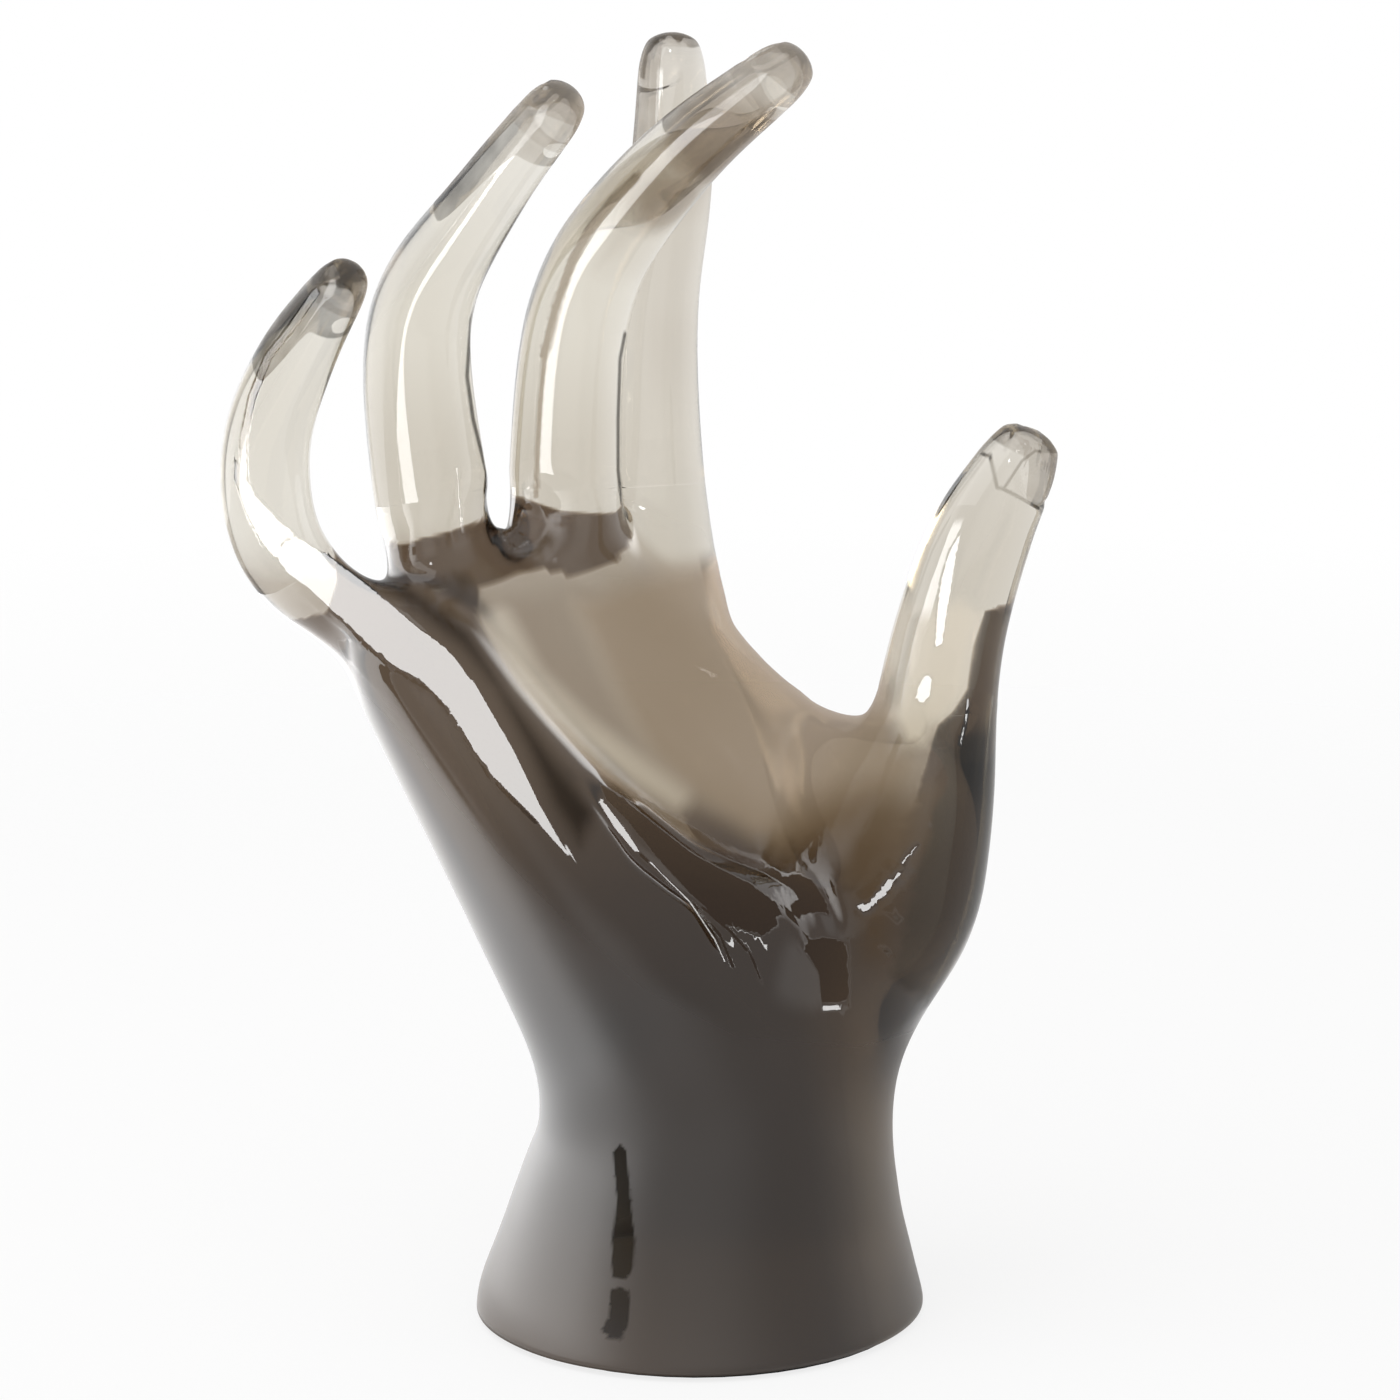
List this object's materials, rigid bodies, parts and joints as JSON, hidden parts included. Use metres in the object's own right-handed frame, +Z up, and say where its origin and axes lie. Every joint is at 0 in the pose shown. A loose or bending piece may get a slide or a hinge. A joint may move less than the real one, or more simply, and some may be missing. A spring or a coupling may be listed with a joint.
{
  "type": "hand sculpture",
  "caption": "Upright cast hand ornament with an open grasp and loosely curled fingers, standing on its flared wrist, in smoke-tinted clear resin.",
  "frame": {"origin": "centre of the underside of the felt pad, on the surface the sculpture stands on", "axes": "+Z up along the wrist, -Y the way the palm faces, +X towards the thumb"},
  "size_m": [0.2355, 0.2249, 0.4693],
  "materials": {
    "smoke_resin": "polished",
    "clear_resin": "polished",
    "felt": "matte"
  },
  "bodies": {
    "root": {"palm_and_wrist": "smoke_resin", "thumb": "smoke_resin", "index_finger": "smoke_resin", "middle_finger": "smoke_resin", "ring_finger": "smoke_resin", "little_finger": "smoke_resin", "thumb_dowel": "clear_resin", "index_dowel": "clear_resin", "middle_dowel": "clear_resin", "ring_dowel": "clear_resin", "little_dowel": "clear_resin", "base_felt": "felt"}
  },
  "joints": []
}
